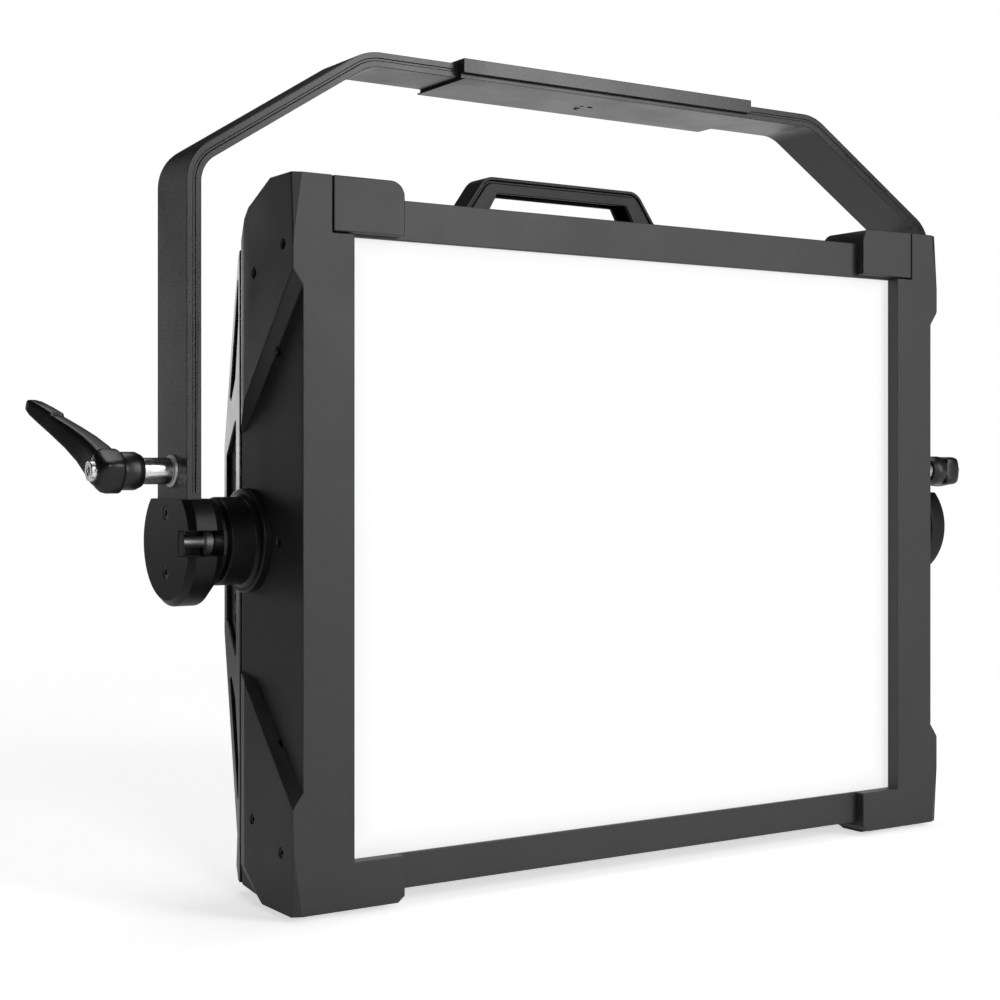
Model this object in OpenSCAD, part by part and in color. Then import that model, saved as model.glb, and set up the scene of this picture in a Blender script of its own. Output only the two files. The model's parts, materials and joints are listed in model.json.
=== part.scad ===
// LED panel light: a flat lamp head that tilts in a bent flat-bar yoke.
// The origin is on the floor, under the tilt axis, on the plane of symmetry.
// X runs across the head, Y from its lit front to its rear, and Z up.
// Depths are counted from the head's front plane, and heights from the floor.

/* [Lamp head] */
// Width of the lit opening
window_w = 484; // [470:2:500]
// Height of the lit opening
window_h = 400; // [396:1:404]
// Width of each side bar beside the opening
side_bar_w = 37; // [34:1:40]
// Height of the raised corner pads above the side planes
pad_rise = 7; // [5:0.5:8]
// Depth from the front plane to the tilt axis
front_depth = 78; // [78:1:80]
// Depth from the front plane to the flat rear face
head_depth = 144; // [142:1:146]

/* [Yoke] */
// Distance from the middle to each arm's outer face
arm_outer_x = 333.7; // [332:0.1:335]
// Thickness of the flat bar
bar_t = 10; // [9:0.5:10]
// Width of the flat bar
bar_w = 48; // [44:1:52]
// Height of the crossbar's top face
yoke_top = 567; // [560:1:575]
// Half of the crossbar's straight length
cross_half = 201; // [190:1:210]

/* [Pivot and clamp] */
// Radius of the flange on each cheek
flange_r = 34.5; // [32:0.5:36]
// Radius of the knuckle disc at each yoke end
knuckle_r = 41.5; // [40:0.5:43]
// Height of the clamp lever's axis above the tilt axis
clamp_rise = 46; // [44:1:50]
// Angle of the left clamp lever's grip above the horizontal
left_grip_angle = 30; // [0:5:60]
// Angle of the right clamp lever's grip above the horizontal
right_grip_angle = 0; // [0:5:60]

/* [Fans] */
// Distance from the middle to each fan's axis
fan_x = 198; // [190:1:204]
// Outer size of the square fan frames
fan_size = 92; // [88:1:94]
// Number of blades on each rotor
fan_blades = 7; // [5:1:9]

/* [Hidden] */
$fn = 64;
cut = 1;

// Head: places across and up
win_x = window_w / 2;
win_lo = 33.5;
win_hi = win_lo + window_h;
side_x = win_x + side_bar_w;
pad_x = side_x + pad_rise;
plate_t = 8;
plate_in = side_x - plate_t;
head_lo = 3.5;
head_hi = win_hi + 37.5;
tilt_z = (head_lo + head_hi) / 2;
cap_in = win_x - 37;
cap_out = win_x + 15.5;
cap_lo = win_hi + 1.9;
cap_gap = 0.5;
cap_r = 10;
block_depth = 45;
bar_set = 7.5;
bar_hi = head_hi - 11;
bar_lo = head_lo + 7;
lip_d = 11;
seam_d = 93;
shell_turn_d = 66;
pad_rear_d = 71;
pad_rear_hi = 451.5;
facet_run = 46;
edge_chamfer = 1.5;
edge_chamfer_d = 88.5;
seam_hi = 431.5;
seam_lo = 7.5;
pad_diag_hi = tilt_z + 172.75;
pad_diag_mid = tilt_z + 92;
low_diag_lo = 71;
low_diag_mid = 144.5;
ramp_w = 10;

// Light engine: places behind the opening
panel_lap = 5;
panel_t = 3;
gasket_t = 2;
box_d = 40;
box_wall = 2;
board_t = 2;
sink_base_t = 4;
sink_fin_h = 25;
panel_x = win_x + panel_lap;
panel_lo = win_lo - panel_lap;
panel_hi = win_hi + panel_lap;
gasket_d = lip_d + panel_t;
box_front_d = gasket_d + gasket_t;
board_d = box_front_d + box_d;
sink_d = board_d + board_t;

// Rear cover
cover_wall = 3;
cover_slope = 0.24;
rear_hi = 300;
rear_lo = 172;
spine_half = 128;
spine_hi = 455;
spine_cut = 15;
spine_gap = 0.1;
rear_y = head_depth - front_depth;

// Rear fittings
panel_z = 268;
plate_z = 205;
fitting_t = 2.5;
button_r = 5;
button_xs = [-8, 14, 36, 58];
knob_x = 96;
knob_rise = 12;
display_x = -62;
display_w = 84;
display_h = 40;
fan_t = 25;
fan_hole_r = fan_size / 2 - 3;
fan_screw_at = fan_size / 2 - 4.75;
fan_screw_r = 1.5;
guard_t = 2.4;
panel_screw_x = 116;
panel_screw_dz = 24;
panel_screw_r = 1.2;
screw_play = 0.05;
shaft_r = 2;

// Handle on the spine
handle_d = [112, 134];
handle_top = 502;
handle_foot_half = 106;
handle_foot_w = 30;
handle_foot_h = 6.5;
handle_t = 12;
handle_r = 14;
handle_cx = 63.6;
handle_open_x = 60;
handle_lean = 54.8;
handle_flange = 3;
handle_web = 5;
handle_groove = [2.6, 4.6];
handle_groove_t = 1.5;
handle_screw_x = 92;

// Eye for a safety cable
eye_z = 400;
eye_t = 4;
eye_r = 3;

// Pivots
hub_r = 29;
hub_end = 305;
washer_end = 307.8;
knuckle_in = 308;
knuckle_full = 320;
knuckle_out = 338;
knuckle_top = tilt_z + 28;
knuckle_edge = 4;
knuckle_cone = 9;
notch_h = 16.5;
notch_back = 1;
skin_notch_back = -20;
pivot_bolt_r = 4;
pivot_bolt_end = 336;
collar_r = 8.7;
collar_end = 313;
arm_screw_dz = 19;
arm_screw_r = 2.45;
arm_screw_head = 4.2;
arm_screw_sink = 2.6;
arm_screw_hex_r = 2.2;
arm_groove = [4.1, 5.9];
arm_groove_t = 0.7;
arm_inner_x = arm_outer_x - bar_t;
arm_end_z = tilt_z - 27;
clamp_z = tilt_z + clamp_rise;
bend_angle = 32.4;
bend_r_low = 20;
bend_r_high = 30;

// Mount plate on the crossbar
mount_half_x = 131;
mount_half_y = 32;
mount_lap = 2;
mount_proud = 2.5;
mount_bore_r = 6.5;
mount_slot_r = 5.25;
mount_slot_x = 60;
mount_screw_r = 2.5;
mount_head_r = 4.6;
mount_head_sink = 2.2;
mount_screw_at = [110, 15];
mount_groove_t = 4;
mount_groove_h = 3.5;
drain_r = 2;
pin_hole_r = 1.3;
pin_hole_x = -7.3;
lock_screw_at = [-4, 11];

// Clamp levers
insert_r = 8.6;
lever_in = 355.5;
lever_out = 386.5;
lever_hub_r = 12.2;
lever_bore = 19;
dome_start = 375;
dome_length = 14;
clamp_head_r = 6.5;
stud_r = 4.9;
grip_reach = 80;

// Y place of a depth behind the head's front plane
function at(d) = d - front_depth;
// Outline point at a depth and a height
function pt(d, z) = [at(d), z];
// Half width of the rear cover at a depth
function cover_half(d) = side_x - cover_slope * (d - seam_d);

// Extrudes an outline of Y and Z along X, from x_a to x_b
module across(x_a, x_b) {
    translate([x_a, 0, 0])
        rotate([90, 0, 90])
            linear_extrude(x_b - x_a)
                children();
}

// Extrudes an outline of X and Z along Y, from y_a to y_b
module deep(y_a, y_b) {
    translate([0, y_b, 0])
        rotate([90, 0, 0])
            linear_extrude(y_b - y_a)
                children();
}

// Box between two corners
module span(a, b) {
    translate(a)
        cube(b - a);
}

// Cylinder along +X
module rod_x(x_a, x_b, r, y, z) {
    translate([x_a, y, z])
        rotate([0, 90, 0])
            cylinder(h = x_b - x_a, r = r);
}

// Cylinder along +Y
module rod_y(y_a, y_b, r, x, z) {
    translate([x, y_b, z])
        rotate([90, 0, 0])
            cylinder(h = y_b - y_a, r = r);
}

// Draws its child on both sides
module both_sides() {
    children();
    mirror([1, 0, 0])
        children();
}

// Draws its child at the left, where side is -1, or at the right
module on_side(side) {
    mirror([side < 0 ? 1 : 0, 0, 0])
        children();
}

// Socket screw along +Y with its head at the rear
module socket_screw_y(y_face, x, z, head_r, head_h, shank_r, length) {
    difference() {
        union() {
            rod_y(y_face, y_face + head_h, head_r, x, z);
            rod_y(y_face - length, y_face, shank_r, x, z);
        }
        translate([x, y_face + head_h + cut, z])
            rotate([90, 0, 0])
                cylinder(h = head_h * 0.6 + cut, r = head_r * 0.55, $fn = 6);
    }
}

/* ---------- Head: frame ---------- */

side_outline = [pt(0, head_lo), pt(0, head_hi), pt(33, head_hi), pt(shell_turn_d, 456),
    pt(seam_d, seam_hi), pt(seam_d, seam_lo), pt(60, head_lo)];
pad_top_high = [pt(0, pad_diag_hi), pt(0, head_hi), pt(33, head_hi), pt(65, 456),
    pt(pad_rear_d, pad_rear_hi - 2), pt(pad_rear_d, pad_diag_mid)];
pad_top_low = [pt(0, pad_diag_hi - ramp_w), pt(0, head_hi), pt(33, head_hi),
    pt(shell_turn_d, 456), pt(seam_d, seam_hi), pt(seam_d, pad_diag_mid - 25),
    pt(pad_rear_d, pad_diag_mid - 6)];
pad_low_high = [pt(0, low_diag_lo), pt(0, head_lo), pt(44, head_lo), pt(65, 20),
    pt(pad_rear_d, 24), pt(pad_rear_d, low_diag_mid)];
pad_low_low = [pt(0, low_diag_lo + ramp_w), pt(0, head_lo), pt(44, head_lo),
    pt(shell_turn_d, 18), pt(seam_d, 20), pt(seam_d, low_diag_mid + 6),
    pt(pad_rear_d, low_diag_mid + 1)];
pad_holes = [[14, 426.5], [56, 412], [59, 56.5], [17, 42]];
side_holes = [[34.5, 360], [64.5, 336], [34.5, tilt_z], [65, 134], [32, 107.5]];
socket_r = 3.3;
socket_depth = 3;

// Raised pad with ramps down to the side plane
module pad(high, low) {
    hull() {
        across(pad_x - 0.01, pad_x)
            polygon(high);
        across(side_x - 0.01, side_x)
            polygon(low);
    }
}

// Tapered facet cut off a pad's front edge, widest at the head's top or bottom
module edge_facet(z_end, z_run) {
    tip = [pad_x, at(0), z_end + z_run];
    a = [pad_x - 6.5, at(0), z_end];
    b = [pad_x, at(3), z_end];
    out = [pad_x + 14, at(-15), z_end - z_run * 0.16];
    polyhedron(points = [tip, a + (a - tip) * 0.1, b + (b - tip) * 0.1, out],
        faces = z_run < 0
            ? [[0, 2, 1], [0, 1, 3], [0, 3, 2], [1, 2, 3]]
            : [[0, 1, 2], [0, 3, 1], [0, 2, 3], [1, 3, 2]]);
}

// Cheek casting of the right side
module cheek() {
    difference() {
        union() {
            across(plate_in, side_x)
                polygon(side_outline);
            span([win_x, at(0), head_lo], [side_x, at(28), cap_lo - 1]);
            span([cap_out + cap_gap, at(0), cap_lo - 2], [side_x, at(block_depth), head_hi]);
            deep(at(0), at(block_depth))
                polygon([[cap_in + 5, head_lo], [cap_in, head_lo + 4], [cap_in, win_lo],
                    [side_x, win_lo], [side_x, head_lo]]);
            pad(pad_top_high, pad_top_low);
            pad(pad_low_high, pad_low_low);
        }
        span([-panel_x - 1, at(lip_d), panel_lo - 0.5],
            [panel_x + 1, at(seam_d), panel_hi + 0.5]);
        span([win_x + 10, at(8), win_lo + 20], [plate_in, at(28) + cut, cap_lo - 20]);
        edge_facet(head_hi, -facet_run);
        edge_facet(head_lo, facet_run);
        linear_extrude(head_hi + cut)
            polygon([[side_x - edge_chamfer, at(seam_d)], [side_x, at(edge_chamfer_d)],
                [side_x + 2.5, at(edge_chamfer_d - 3)], [pad_x + cut, at(edge_chamfer_d - 3)],
                [pad_x + cut, at(seam_d) + cut], [side_x - edge_chamfer, at(seam_d) + cut]]);
        for (h = pad_holes)
            rod_x(pad_x - socket_depth, pad_x + cut, socket_r, at(h[0]), h[1]);
        for (h = side_holes)
            rod_x(side_x - socket_depth, side_x + cut, socket_r, at(h[0]), h[1]);
        rod_x(plate_in - cut, side_x + cut, pivot_bolt_r, 0, tilt_z);
    }
}

module left_cheek() { color("#3a3a3c") on_side(-1) cheek(); }
module right_cheek() { color("#3a3a3c") on_side(1) cheek(); }

module top_bar() {
    color("#404042")
    difference() {
        across(-plate_in, plate_in)
            polygon([pt(bar_set, win_hi), pt(bar_set, bar_hi), pt(57, bar_hi),
                pt(shell_turn_d, 456), pt(seam_d, seam_hi), pt(seam_d, seam_hi - 8),
                pt(shell_turn_d - 3, 449), pt(54, bar_hi - 7), pt(lip_d, bar_hi - 7),
                pt(lip_d, win_hi)]);
        both_sides() {
            span([cap_out, at(0), win_lo], [pad_x, at(block_depth), head_hi]);
            span([win_x, at(0), win_lo], [pad_x, at(block_depth), cap_lo - 1]);
        }
    }
}

module bottom_bar() {
    color("#39393b")
    difference() {
        across(-plate_in, plate_in)
            polygon([pt(bar_set, win_lo), pt(bar_set, bar_lo), pt(60, bar_lo),
                pt(seam_d, seam_lo), pt(seam_d, seam_lo + 7), pt(60, bar_lo + 7),
                pt(lip_d, bar_lo + 7), pt(lip_d, win_lo)]);
        both_sides()
            span([cap_in, at(0), 0], [pad_x, at(block_depth), win_hi]);
    }
}

// Cap over the right end of the top bar
module corner_cap() {
    difference() {
        deep(at(0), at(block_depth))
            difference() {
                polygon([[cap_in, cap_lo], [cap_in, head_hi], [cap_out - cap_gap, head_hi],
                    [cap_out - cap_gap, cap_lo]]);
                difference() {
                    translate([cap_in - cut, head_hi - cap_r])
                        square([cap_r + cut, cap_r + cut]);
                    translate([cap_in + cap_r, head_hi - cap_r])
                        circle(r = cap_r);
                }
            }
        span([cap_in - cut, at(bar_set), cap_lo - cut], [cap_out + cut, at(block_depth) + cut, bar_hi]);
    }
}

module left_corner_cap() { color("#424244") on_side(-1) corner_cap(); }
module right_corner_cap() { color("#424244") on_side(1) corner_cap(); }

// Rubber foot that stands on the floor, with its sides sloping in
module foot(x, d, w, l, top) {
    hull() {
        translate([x - w / 2 + 3, at(d) - l / 2 + 3, 0])
            cube([w - 6, l - 6, 0.1]);
        translate([x - w / 2, at(d) - l / 2, top - 0.1])
            cube([w, l, 0.1]);
    }
}

module front_feet() {
    color("#1d1d1f")
        both_sides()
            foot(win_x - 14, 24, 30, 26, head_lo);
}

module rear_feet() {
    color("#1d1d1f")
    difference() {
        both_sides()
            foot(win_x - 14, 100, 34, 14, 9);
        across(-pad_x, pad_x)
            polygon(cover_outline);
    }
}

// Socket screw with its head sunk in the right cheek
module cheek_screw(x_face, d, z) {
    difference() {
        rod_x(x_face - socket_depth, x_face - 1, socket_r - 0.3, at(d), z);
        translate([x_face - 2.4, at(d), z])
            rotate([0, 90, 0])
                cylinder(h = 2, r = 1.7, $fn = 6);
    }
}

module cheek_screws() {
    color("#18181a")
        both_sides() {
            for (h = pad_holes)
                cheek_screw(pad_x, h[0], h[1]);
            for (h = side_holes)
                cheek_screw(side_x, h[0], h[1]);
        }
}

/* ---------- Head: light engine ---------- */

module diffuser_panel() {
    color("white")
        span([-panel_x, at(lip_d), panel_lo], [panel_x, at(gasket_d), panel_hi]);
}

// Rectangular ring of the light engine's outline
module engine_ring(d_a, d_b, wall) {
    difference() {
        span([-panel_x, at(d_a), panel_lo], [panel_x, at(d_b), panel_hi]);
        span([wall - panel_x, at(d_a) - cut, panel_lo + wall],
            [panel_x - wall, at(d_b) + cut, panel_hi - wall]);
    }
}

module diffuser_gasket() { color("#202020") engine_ring(gasket_d, box_front_d, 4.5); }
module light_box() { color("#f2f2f2") engine_ring(box_front_d, board_d, box_wall); }

module led_board() {
    color("#e8e8e0")
        span([-panel_x, at(board_d), panel_lo], [panel_x, at(sink_d), panel_hi]);
}

module led_chips() {
    columns = 10;
    rows = 8;
    chip = 5;
    color("#f4d35e")
        for (i = [0:columns - 1], j = [0:rows - 1])
            translate([(i - (columns - 1) / 2) * 48, at(board_d) - 0.5,
                win_lo + (j + 0.5) * window_h / rows])
                cube([chip, 1, chip], center = true);
}

module heat_sink() {
    fins = 24;
    pitch = 20;
    color("#9a9ca0") {
        span([-panel_x, at(sink_d), panel_lo], [panel_x, at(sink_d + sink_base_t), panel_hi - 12]);
        for (i = [0:fins - 1])
            translate([(i - (fins - 1) / 2) * pitch - 1, at(sink_d + sink_base_t), panel_lo + 10])
                cube([2, sink_fin_h, panel_hi - panel_lo - 40]);
    }
}

/* ---------- Rear cover ---------- */

cover_outline = [pt(seam_d, seam_hi), pt(98, 427), pt(114, 387), pt(head_depth, rear_hi),
    pt(head_depth, rear_lo), pt(101, 38), pt(104, 17), pt(98, 8), pt(seam_d, seam_lo)];
end_window = [pt(97, 412), pt(99.5, 411), pt(107, 387), pt(125, 334), pt(121, 331),
    pt(107, 346), pt(97, 385)];
mid_window = [pt(105, tilt_z + 80), pt(109, tilt_z + 79), pt(136, tilt_z + 57),
    pt(136, tilt_z - 57), pt(109, tilt_z - 79), pt(105, tilt_z - 80)];
screen_d = 96;

// Plan outline of the cover, moved in by a wall thickness
module cover_plan(inset) {
    polygon([[-cover_half(seam_d) + inset, at(seam_d - 1)], [cover_half(seam_d) - inset, at(seam_d - 1)],
        [cover_half(seam_d) - inset, at(seam_d)],
        [cover_half(head_depth) - inset, at(head_depth)],
        [inset - cover_half(head_depth), at(head_depth)],
        [inset - cover_half(seam_d), at(seam_d)]]);
}

// Outline of the middle spine in X and Z, moved in by an inset
module spine_outline(inset) {
    half = spine_half - inset;
    polygon([[-half, rear_lo], [-half, spine_hi - spine_cut], [spine_cut - half, spine_hi - inset],
        [half - spine_cut, spine_hi - inset], [half, spine_hi - spine_cut], [half, rear_lo]]);
}

// Rows of cooling slots through the sloping rear walls
module cooling_slots(z_first, count) {
    for (side = [-1, 1], i = [0:count - 1])
        translate([side * fan_x - 50, at(90), z_first + i * 12])
            cube([100, 70, 5]);
}

// Places its child at each screw of the fans
module at_fan_screws() {
    for (side = [-1, 1], sx = [-1, 1], sz = [-1, 1])
        translate([side * fan_x + sx * fan_screw_at, 0, tilt_z + sz * fan_screw_at])
            children();
}

// Places its child at each screw of the rear panel whose middle height is z
module at_panel_screws(z) {
    for (sx = [-1, 1], sz = [-1, 1])
        translate([sx * panel_screw_x, 0, z + sz * panel_screw_dz])
            children();
}

// Places its child at each screw of the handle
module at_handle_screws(z) {
    for (sx = [-1, 1], y = [118, 128])
        translate([sx * handle_screw_x, at(y), z])
            children();
}

// Tapering shell with vent windows, open in the middle for the spine
module rear_cover() {
    color("#343436")
    difference() {
        intersection() {
            across(-pad_x, pad_x)
                polygon(cover_outline);
            linear_extrude(head_hi)
                cover_plan(0);
        }
        intersection() {
            across(-pad_x, pad_x)
                polygon([for (p = cover_outline) [p[0] - cover_wall, p[1]]]);
            translate([0, 0, seam_lo + 5])
                linear_extrude(seam_hi - seam_lo - 9)
                    cover_plan(cover_wall);
        }
        deep(at(seam_d) - 2 * cut, rear_y + cut)
            spine_outline(-spine_gap);
        for (z = [0, 1])
            translate([0, 0, z * 2 * tilt_z])
                mirror([0, 0, z])
                    across(-pad_x, pad_x)
                        polygon(end_window);
        across(-pad_x, pad_x)
            polygon(mid_window);
        cooling_slots(318, 6);
        cooling_slots(86, 6);
        both_sides()
            rod_y(at(120), rear_y + cut, fan_hole_r, fan_x, tilt_z);
        at_fan_screws()
            rod_y(at(130), rear_y + cut, fan_screw_r + screw_play, 0, 0);
    }
}

// Box in the middle that holds the controls and carries the handle
module rear_spine() {
    color("#343436")
    difference() {
        deep(at(seam_d), rear_y)
            spine_outline(0);
        deep(at(seam_d) - cut, rear_y - cover_wall)
            union() {
                spine_outline(cover_wall);
                translate([cover_wall - spine_half, rear_lo - cut])
                    square([2 * (spine_half - cover_wall), 2 * cut]);
            }
        span([-110, at(120), 240], [110, rear_y + cut, 296]);
        span([-110, at(120), 181], [110, rear_y + cut, 229]);
        for (z = [panel_z, plate_z])
            at_panel_screws(z)
                rod_y(at(130), rear_y + cut, panel_screw_r + screw_play, 0, 0);
        at_handle_screws(spine_hi - 20)
            cylinder(h = 30, r = 2.1);
    }
}

// Dark slotted screen behind the windows of the right side
module vent_screen() {
    difference() {
        intersection() {
            across(0, pad_x)
                polygon([pt(screen_d, 415), pt(110, 380), pt(136, 300), pt(136, 176),
                    pt(108, 70), pt(screen_d, 60)]);
            linear_extrude(head_hi)
                difference() {
                    cover_plan(cover_wall + 0.3);
                    cover_plan(cover_wall + 1.8);
                }
        }
        for (i = [0:21])
            translate([0, at(screen_d + 5), 82 + i * 14])
                cube([pad_x, 22, 5]);
    }
}

module left_vent_screen() { color("#101011") on_side(-1) vent_screen(); }
module right_vent_screen() { color("#101011") on_side(1) vent_screen(); }

/* ---------- Fans ---------- */

fan_rear = rear_y - cover_wall;
fan_front = fan_rear - fan_t;

module fan_frames() {
    strut_t = 3;
    strut_w = 5;
    boss_r = 17;
    color("#161617")
        both_sides() {
            difference() {
                span([fan_x - fan_size / 2, fan_front, tilt_z - fan_size / 2],
                    [fan_x + fan_size / 2, fan_rear, tilt_z + fan_size / 2]);
                rod_y(fan_front - cut, fan_rear + cut, fan_hole_r, fan_x, tilt_z);
                for (sx = [-1, 1], sz = [-1, 1])
                    rod_y(fan_front - cut, fan_rear + cut, fan_screw_r + screw_play,
                        fan_x + sx * fan_screw_at, tilt_z + sz * fan_screw_at);
            }
            difference() {
                union() {
                    rod_y(fan_front + 0.3, fan_front + strut_t, boss_r, fan_x, tilt_z);
                    for (a = [45:90:315])
                        translate([fan_x, 0, tilt_z])
                            rotate([0, a, 0])
                                span([boss_r - 2, fan_front + 0.5, -strut_w / 2],
                                    [fan_hole_r + 2, fan_front + strut_t - 0.2, strut_w / 2]);
                }
                rod_y(fan_front - cut, fan_rear + cut, shaft_r + 0.05, fan_x, tilt_z);
            }
        }
}

// Hub, blades and shaft of a fan
module fan_rotor(x) {
    hub = 18;
    blade_pitch = 35;
    blade_reach = 24;
    translate([x, 0, tilt_z]) {
        rod_y(fan_front + 4, fan_rear - 2, hub, 0, 0);
        rod_y(fan_front + 0.5, fan_front + 5, shaft_r, 0, 0);
        for (i = [0:fan_blades - 1])
            rotate([0, i * 360 / fan_blades, 0])
                translate([hub - 2, fan_front + 16, 0])
                    rotate([blade_pitch, 0, 0])
                        cube([blade_reach, 2, 18]);
    }
}

module left_fan_rotor() { color("#232325") fan_rotor(-fan_x); }
module right_fan_rotor() { color("#232325") fan_rotor(fan_x); }

// Guard over a fan: flat rings on four spokes, with a pad at each corner
module fan_guards() {
    wire = 2.2;
    color("#55565a")
        both_sides() {
            for (r = [12, 21, 30, 39])
                difference() {
                    rod_y(rear_y + 0.5, rear_y + 0.5 + wire, r + wire / 2, fan_x, tilt_z);
                    rod_y(rear_y, rear_y + 5, r - wire / 2, fan_x, tilt_z);
                }
            for (a = [45:90:315])
                translate([fan_x, rear_y, tilt_z])
                    rotate([0, a, 0])
                        translate([11, 0.2, -1])
                            cube([44, wire, 2]);
            for (sx = [-1, 1], sz = [-1, 1])
                translate([fan_x + sx * fan_screw_at, 0, tilt_z + sz * fan_screw_at])
                    difference() {
                        rod_y(rear_y, rear_y + guard_t, 5, 0, 0);
                        rod_y(rear_y - cut, rear_y + 5, fan_screw_r + screw_play, 0, 0);
                    }
        }
}

/* ---------- Electronics ---------- */

module power_supply() {
    color("#8d9094")
        difference() {
            span([-105, at(94), 320], [105, at(124), 420]);
            for (i = [0:9])
                translate([-90 + i * 18, at(123), 340])
                    cube([8, 2, 60]);
        }
}

module driver_board() {
    color("#1f5b34") {
        span([-110, at(94), 60], [110, at(96), 160]);
        for (x = [-90:30:90])
            span([x - 9, at(96), 75], [x + 9, at(107), 95]);
        for (x = [-80:40:80])
            rod_y(at(96), at(112), 7, x, 135);
    }
}

module control_board() {
    color("#1d4f6e") {
        span([-105, rear_y - 22, 238], [105, rear_y - 20, 300]);
        span([display_x - 36, rear_y - 20, panel_z - 16], [display_x + 36, rear_y - 7, panel_z + 16]);
    }
}

/* ---------- Rear panel and connectors ---------- */

module control_panel() {
    color("#1a1a1c")
    difference() {
        span([-122, rear_y, panel_z - 30], [122, rear_y + fitting_t, panel_z + 30]);
        span([display_x - display_w / 2, rear_y - cut, panel_z - display_h / 2],
            [display_x + display_w / 2, rear_y + fitting_t + cut, panel_z + display_h / 2]);
        for (x = button_xs)
            rod_y(rear_y - cut, rear_y + fitting_t + cut, button_r + 0.3, x, panel_z);
        rod_y(rear_y - cut, rear_y + fitting_t + cut, 3.05, knob_x, panel_z);
        at_panel_screws(panel_z)
            rod_y(rear_y - cut, rear_y + fitting_t + cut, panel_screw_r + screw_play, 0, 0);
    }
}

module display_window() {
    color("#0b1016")
        span([display_x - display_w / 2, rear_y - 2, panel_z - display_h / 2],
            [display_x + display_w / 2, rear_y + 1.5, panel_z + display_h / 2]);
}

// Button that is pressed towards the front
module button(i) {
    color("#2b2b2e") {
        rod_y(rear_y - 4, rear_y + fitting_t + 2, button_r, button_xs[i], panel_z);
        rod_y(rear_y - 5, rear_y - 4, button_r + 1, button_xs[i], panel_z);
    }
}

module menu_button() { button(0); }
module up_button() { button(1); }
module down_button() { button(2); }
module enter_button() { button(3); }

module encoder_knob() {
    color("#2b2b2e")
    difference() {
        union() {
            rod_y(rear_y + fitting_t + 0.4, rear_y + knob_rise, 10, knob_x, panel_z);
            rod_y(rear_y - 10, rear_y + fitting_t + 0.4, 3, knob_x, panel_z);
        }
        for (a = [0:30:330])
            translate([knob_x, 0, panel_z])
                rotate([0, a, 0])
                    rod_y(rear_y + fitting_t, rear_y + knob_rise + cut, 1, 10.4, 0);
    }
}

module connector_plate() {
    color("#26262a")
    difference() {
        span([-122, rear_y, plate_z - 30], [122, rear_y + fitting_t, plate_z + 30]);
        for (x = [-90, -55])
            rod_y(rear_y - cut, rear_y + fitting_t + cut, 12.5, x, plate_z);
        for (x = [-10, 25])
            rod_y(rear_y - cut, rear_y + fitting_t + cut, 11.5, x, plate_z);
        span([51, rear_y - cut, plate_z - 8], [69, rear_y + fitting_t + cut, plate_z + 8]);
        rod_y(rear_y - cut, rear_y + fitting_t + cut, 7, 96, plate_z);
        at_panel_screws(plate_z)
            rod_y(rear_y - cut, rear_y + fitting_t + cut, panel_screw_r + screw_play, 0, 0);
    }
}

// Round panel socket with a flange, keyed rim and a recessed insert
module round_socket(x, r, flange, pins, pin_ring) {
    difference() {
        union() {
            rod_y(rear_y - 18, rear_y + fitting_t, r, x, plate_z);
            span([x - flange, rear_y + fitting_t, plate_z - flange],
                [x + flange, rear_y + fitting_t + 2, plate_z + flange]);
            rod_y(rear_y + fitting_t + 2, rear_y + fitting_t + 4, r + 1, x, plate_z);
        }
        rod_y(rear_y - 8, rear_y + 20, r - 2.5, x, plate_z);
    }
    for (i = [0:pins - 1])
        translate([x, 0, plate_z])
            rotate([0, i * 360 / pins, 0])
                rod_y(rear_y - 9, rear_y - 3, 1.2, pin_ring, 0);
}

module power_inlet() { color("#2f5fa8") round_socket(-90, 12.4, 14, 3, 5); }
module power_outlet() { color("#9aa0a6") round_socket(-55, 12.4, 14, 3, 5); }

module data_sockets() {
    color("#1b1b1d") {
        round_socket(-10, 11.4, 13, 5, 5.5);
        round_socket(25, 11.4, 13, 5, 5.5);
    }
}

module network_port() {
    color("#8e9296")
    difference() {
        span([51.2, rear_y - 14, plate_z - 7.8], [68.8, rear_y + fitting_t + 1.5, plate_z + 7.8]);
        span([53.5, rear_y - 10, plate_z - 6], [66.5, rear_y + 20, plate_z + 5]);
    }
}

module fuse_cap() {
    color("#1b1b1d")
    difference() {
        union() {
            rod_y(rear_y - 20, rear_y + fitting_t, 6.9, 96, plate_z);
            rod_y(rear_y + fitting_t, rear_y + fitting_t + 7, 8.5, 96, plate_z);
        }
        span([89, rear_y + fitting_t + 5.5, plate_z - 0.9], [103, rear_y + 20, plate_z + 0.9]);
    }
}

module cover_screws() {
    color("#4a4b4f") {
        at_fan_screws()
            socket_screw_y(rear_y + guard_t, 0, 0, 3.6, 2.2, fan_screw_r, 12);
        for (z = [panel_z, plate_z])
            at_panel_screws(z)
                socket_screw_y(rear_y + fitting_t, 0, 0, 2.6, 1.6, panel_screw_r, 6);
    }
}

/* ---------- Handle and safety eye ---------- */

// X place of the handle's leg at a height, moved in by an inset
function leg_x(inset, z) = handle_cx + (handle_r - inset) * cos(90 - handle_lean)
    + (handle_top - handle_r + (handle_r - inset) * sin(90 - handle_lean) - z) / tan(handle_lean);

// Outline inside the handle's outer edge, moved in by an inset, down to a floor
module handle_core(inset, floor_z) {
    both_sides()
        polygon(concat([[0, floor_z], [0, handle_top - inset]],
            arc(handle_cx, handle_top - handle_r, handle_r - inset, 90, 90 - handle_lean),
            [[leg_x(inset, floor_z), floor_z]]));
}

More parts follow.
